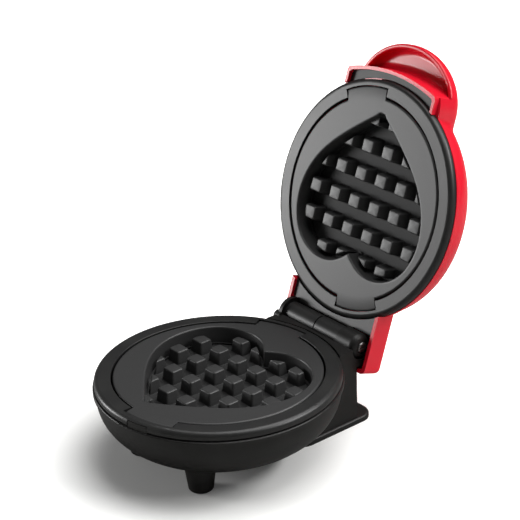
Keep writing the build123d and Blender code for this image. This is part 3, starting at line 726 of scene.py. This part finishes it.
# %% Ceramic, glass, sleeves and rubber
def steatite():
    """Unglazed white ceramic, faintly cream, quite dull."""
    finish, tree, shader = new_finish("steatite", Roughness=0.7, IOR=1.55)
    two_tones(tree, shader, noise(tree, 2), "#dcd8cf", "#e8e5de")
    bumps(tree, shader, [(noise(tree, 0.3, 2), 0.01)])
    return finish


def phenolic():
    """Brown moulded body of the thermostat, with a slight mottle."""
    finish, tree, shader = new_finish("phenolic", Roughness=0.4, IOR=1.6)
    two_tones(tree, shader, noise(tree, 3), "#5b3a20", "#6b4728")
    bumps(tree, shader, [(noise(tree, 0.5, 2), 0.008)])
    return finish


def lamp_glass():
    """Thin clear glass over an orange glow tube."""
    finish, tree, shader = new_finish(
        "lamp_glass", Base_Color=linear("#f0a060"),
        Roughness=0.05, IOR=1.47, Transmission_Weight=0.8)
    vary(tree, shader, "Roughness", noise(tree, 1), 0.03, 0.08)
    return finish


def silicone_sleeve():
    """White glass-fibre sleeving soaked in silicone: matt, with an uneven braid."""
    finish, tree, shader = new_finish("silicone_sleeve", Roughness=0.6, IOR=1.43)
    two_tones(tree, shader, noise(tree, 0.8), "#d3d0c6", "#e4e2da")
    bumps(tree, shader, [(noise(tree, 0.5, 2), 0.03)])
    return finish


def bush_rubber():
    """Soft black rubber, dull and slightly dusty."""
    finish, tree, shader = new_finish("bush_rubber", Roughness=0.62, IOR=1.5)
    two_tones(tree, shader, noise(tree, 5), "#1a1a19", "#242423")
    bumps(tree, shader, [(noise(tree, 0.5, 2), 0.015)])
    return finish


finishes["ceramic_white"] = steatite()
finishes["control_body"] = phenolic()
finishes["lamp_glass"] = lamp_glass()
finishes["core_sleeve"] = silicone_sleeve()
finishes["bush_rubber"] = bush_rubber()
print("finishes", len(finishes))

# %% [markdown]
# ## Finishes on the pieces
#
# The record names a slot for every CAD node, and each slot has one finish. The liner inside
# the lid's apron is the one exception: it sits in a recess, and the darker, duller housing
# finish paints the shade there.

# %% Give each slot of the record its finish
for entry in frame["record"]["subparts"]:
    node = nodes[entry["node"]]
    for slot in node.material_slots:
        slot.material = finishes[entry["material_slot"]]
# Painted shade: the recessed liner gets the darker, duller housing finish instead of its own
# slot's.
nodes["apron_liner"].material_slots[0].material = finishes["housing_plastic"]
for casting in (lower_casting, upper_casting):
    casting.data.materials.append(finishes["nonstick"])
print("dressed", len(nodes), "nodes")

# %% [markdown]
# ## The photograph's camera
#
# A camera is a place, three directions and a focal length. They were found by fitting the
# round plates, the studs and the hinge to where the photograph has them. The lens is long,
# because the picture was taken from about a metre away and cropped.


# %% Camera
SENSOR_WIDTH = 36
NEAREST_SEEN, FARTHEST_SEEN = 0.05, 20
CAMERA_PLACE = (0.6917, -0.52738 + AXIS_Y * MM, 0.5204)
CAMERA_SHIFT = (-0.1296, -0.0079)


def column_matrix(side, up, back, place):
    """Four by four: the three directions and the place, each as a column."""
    matrix = np.eye(4)
    matrix[:3] = np.column_stack([side, up, back, place])
    return Matrix(matrix.tolist())


def aim_camera(place, azimuth, elevation, roll, focal, shift):
    """Looks along the azimuth and down by the elevation, then rolls about its own line."""
    a, e, r = np.radians([azimuth, elevation, roll])
    back = np.array([np.sin(a) * np.cos(e), -np.cos(a) * np.cos(e), np.sin(e)])
    right = np.array([np.cos(a), np.sin(a), 0])
    up = np.cross(back, right)
    turned_right = right * np.cos(r) + up * np.sin(r)
    turned_up = up * np.cos(r) - right * np.sin(r)
    data = bpy.data.cameras.new("photo_camera")
    data.lens, data.sensor_width = focal, SENSOR_WIDTH
    data.shift_x, data.shift_y = shift
    data.clip_start, data.clip_end = NEAREST_SEEN, FARTHEST_SEEN
    camera = bpy.data.objects.new("photo_camera", data)
    camera.matrix_world = column_matrix(turned_right, turned_up, back, place)
    bpy.context.scene.collection.objects.link(camera)
    bpy.context.scene.camera = camera
    return camera


camera = aim_camera(
    CAMERA_PLACE, azimuth=48.95, elevation=25.38, roll=-0.96, focal=134.25, shift=CAMERA_SHIFT)
print("camera at", tuple(round(v, 3) for v in camera.location))

# %% [markdown]
# ## Floor, lamps and world
#
# The floor is a plain pale sheet. It keeps the soft shadow, and what the camera sees of it
# is lifted to the white of the photograph's background. Broad lamps stand in for softboxes,
# so that black plastic shows its shape by long soft reflections.


# %% Floor
GLOW_FROM, GLOW_TO = 55, 125
GLOW_LOW, GLOW_HIGH = 0.04, 0.75
HALF_FLOOR = 3.0


def floor_finish():
    """Matt white; away from the object a glow for the camera alone lifts it to open white."""
    finish = bpy.data.materials.new("studio_floor")
    finish.use_nodes = True
    tree = finish.node_tree
    tree.nodes.clear()
    paper = add(tree, "ShaderNodeBsdfDiffuse", {"Color": linear("#f2f2f0")})
    grey_paper = add(tree, "ShaderNodeBsdfDiffuse", {"Color": linear("#8c8c8a")})
    from_axis = add(tree, "ShaderNodeVectorMath", {
        0: place_on(tree), 1: (0, AXIS_Y * MM, 0)}, operation="SUBTRACT").outputs[0]
    away = add(tree, "ShaderNodeVectorMath", {0: from_axis}, operation="LENGTH")
    lift = add(tree, "ShaderNodeMapRange", {
        "Value": away.outputs["Value"],
        "From Min": GLOW_FROM * MM, "From Max": GLOW_TO * MM,
        "To Min": GLOW_LOW, "To Max": GLOW_HIGH}, interpolation_type="SMOOTHSTEP")
    glow = add(tree, "ShaderNodeEmission", {
        "Color": linear("#ffffff"), "Strength": lift.outputs["Result"]})
    both = add(tree, "ShaderNodeAddShader")
    tree.links.new(paper.outputs[0], both.inputs[0])
    tree.links.new(glow.outputs[0], both.inputs[1])
    rays = add(tree, "ShaderNodeLightPath")
    mirrored = add(tree, "ShaderNodeMixShader", {"Fac": rays.outputs["Is Glossy Ray"]})
    tree.links.new(paper.outputs[0], mirrored.inputs[1])
    tree.links.new(grey_paper.outputs[0], mirrored.inputs[2])
    choice = add(tree, "ShaderNodeMixShader", {"Fac": rays.outputs["Is Camera Ray"]})
    tree.links.new(mirrored.outputs[0], choice.inputs[1])
    tree.links.new(both.outputs[0], choice.inputs[2])
    output = add(tree, "ShaderNodeOutputMaterial")
    tree.links.new(choice.outputs[0], output.inputs["Surface"])
    return finish


floor_corners = HALF_FLOOR * np.array([(-1, -1, 0), (1, -1, 0), (1, 1, 0), (-1, 1, 0)])
floor = mesh_piece("studio_floor_sheet", floor_corners, [(0, 1, 2, 3)])
floor.data.materials.append(floor_finish())
print("floor", 2 * HALF_FLOOR, "m")


# %% Lamps
def softbox(name, place, target, size, watts):
    """A rectangular area lamp that faces the target."""
    data = bpy.data.lights.new(name, "AREA")
    data.shape, data.size, data.size_y = "RECTANGLE", size[0], size[1]
    data.energy = watts
    lamp = bpy.data.objects.new(name, data)
    back = np.array(place, float) - np.array(target, float)
    back /= np.linalg.norm(back)
    side = np.cross((0, 0, 1), back)
    side /= np.linalg.norm(side)
    lamp.matrix_world = column_matrix(side, np.cross(back, side), back, place)
    bpy.context.scene.collection.objects.link(lamp)


OBJECT_MIDDLE = (0, 0, 0.08)
LAMPS = {
    "over_softbox": {"place": (0.1, 0.5, 1.5), "size": (1.4, 1.4), "watts": 27},
    "key_softbox": {"place": (-1.16, -0.82, 0.17), "size": (0.5, 0.45), "watts": 15},
    "rim_strip": {"place": (0.85, 0.75, 1.0), "size": (1.0, 0.18), "watts": 14},
}
for lamp_name, settings in LAMPS.items():
    softbox(lamp_name, target=OBJECT_MIDDLE, **settings)
print("lamps", len(LAMPS))

# %% [markdown]
# ## What lies all around
#
# Weak even light from every side keeps the shadows open, as a studio's walls do. Where a
# camera ray leaves the floor's edge it sees plain white instead, like the picture's own
# background.


# %% World
WALL_LIGHT = 0.08


def studio_world():
    """Grey studio walls for light and reflections, white where the camera looks past."""
    world = bpy.data.worlds.new("studio")
    world.use_nodes = True
    tree = world.node_tree
    tree.nodes.clear()
    white = linear("#ffffff")
    walls = add(tree, "ShaderNodeBackground", {"Color": white, "Strength": WALL_LIGHT})
    seen_white = add(tree, "ShaderNodeBackground", {"Color": white, "Strength": 1.0})
    seen = add(tree, "ShaderNodeLightPath").outputs["Is Camera Ray"]
    choice = add(tree, "ShaderNodeMixShader", {"Fac": seen})
    tree.links.new(walls.outputs[0], choice.inputs[1])
    tree.links.new(seen_white.outputs[0], choice.inputs[2])
    output = add(tree, "ShaderNodeOutputWorld")
    tree.links.new(choice.outputs[0], output.inputs["Surface"])
    bpy.context.scene.world = world


studio_world()
bpy.context.scene.view_settings.view_transform = "Standard"
print("world", bpy.context.scene.world.name)
